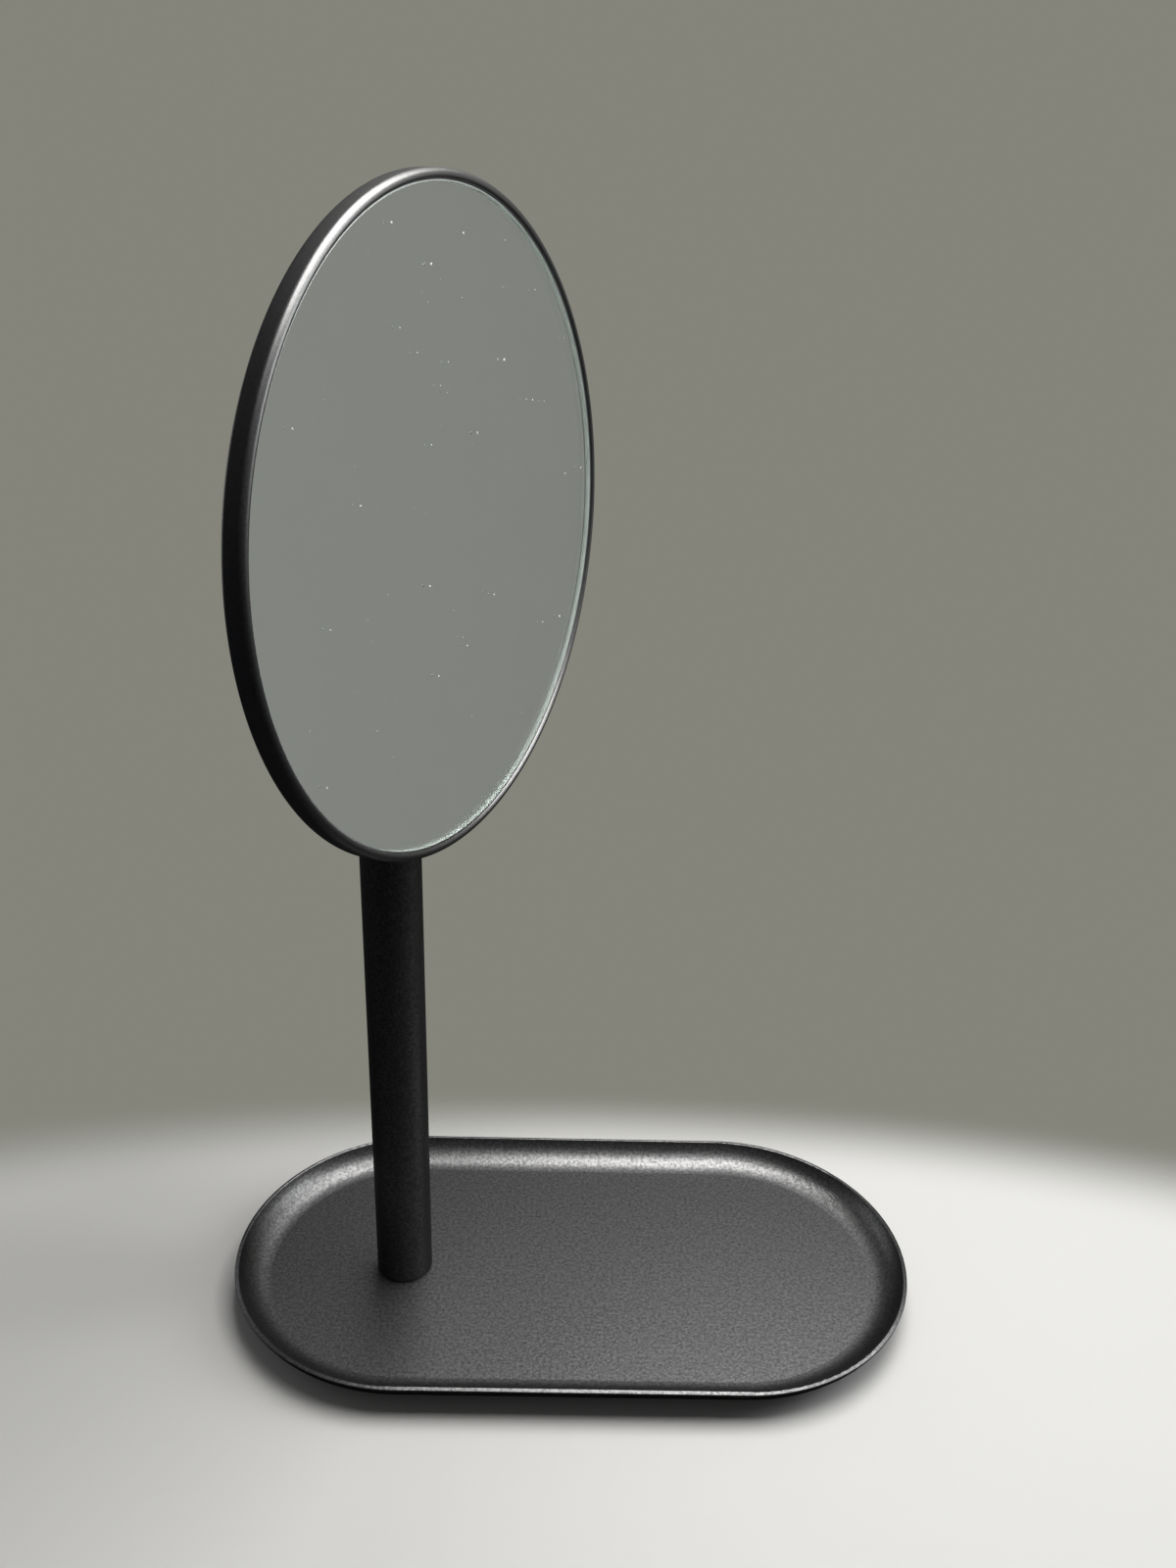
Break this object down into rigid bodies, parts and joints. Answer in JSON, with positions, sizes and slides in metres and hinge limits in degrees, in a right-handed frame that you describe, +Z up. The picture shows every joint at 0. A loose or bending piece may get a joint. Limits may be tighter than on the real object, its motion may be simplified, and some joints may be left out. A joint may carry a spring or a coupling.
{
  "type": "tray mirror",
  "caption": "Round framed table mirror that turns and tilts on a straight post, standing near one end of a low pill-shaped tray.",
  "frame": {"origin": "centre of the tray's outline on the table, in the plane of the non-slip pad's underside", "axes": "+Z up, +X along the tray away from the post, -Y the long side that the mirror is turned towards; the mirror is held about the tilt pivot at the post's upper end"},
  "size_m": [0.222, 0.156, 0.3408],
  "materials": {
    "black_powder_coat": "fine-textured matte black powder coat on steel",
    "zinc_steel": "zinc-plated steel",
    "blackened_steel": "blackened steel, slightly oily sheen",
    "black_nylon": "black nylon",
    "black_foam": "closed-cell foam rubber, matte",
    "adhesive_tape": "double-sided adhesive tape",
    "silvered_glass": "silvered float glass with a seamed edge"
  },
  "bodies": {
    "stand": {"tray": "black_powder_coat", "weight_tape": "adhesive_tape", "weight_plate": "zinc_steel", "non_slip_pad": "black_foam", "base_screw": "zinc_steel", "locating_pin": "zinc_steel", "post_gasket": "black_nylon", "post_plug": "zinc_steel", "post_tube": "black_powder_coat", "swivel_bush": "black_nylon", "bush_set_screw": "blackened_steel"},
    "head": {"swivel_head": "black_powder_coat", "thrust_washer": "black_nylon", "swivel_disc_spring": "zinc_steel", "retaining_washer": "zinc_steel", "swivel_screw": "zinc_steel", "tilt_screw": "blackened_steel", "tilt_disc_spring": "blackened_steel", "tilt_nut": "blackened_steel", "tilt_washers": "black_nylon"},
    "mirror": {"mirror_bracket": "black_powder_coat", "bracket_screws": "zinc_steel", "back_cover": "black_powder_coat", "foam_pad": "black_foam", "mirror_glass": "silvered_glass", "frame_ring": "black_powder_coat"}
  },
  "joints": [
    {"name": "mirror_turn", "type": "hinge", "parent": "stand", "child": "head", "pos_m": [-0.056, 0, 0.255], "axis": [0, 0, 1], "continuous": true},
    {"name": "mirror_tilt", "type": "hinge", "parent": "head", "child": "mirror", "pos_m": [-0.056, 0, 0.255], "axis": [-0.4258, -0.9048, 0], "range_deg": [-6.5, 28.5]}
  ]
}
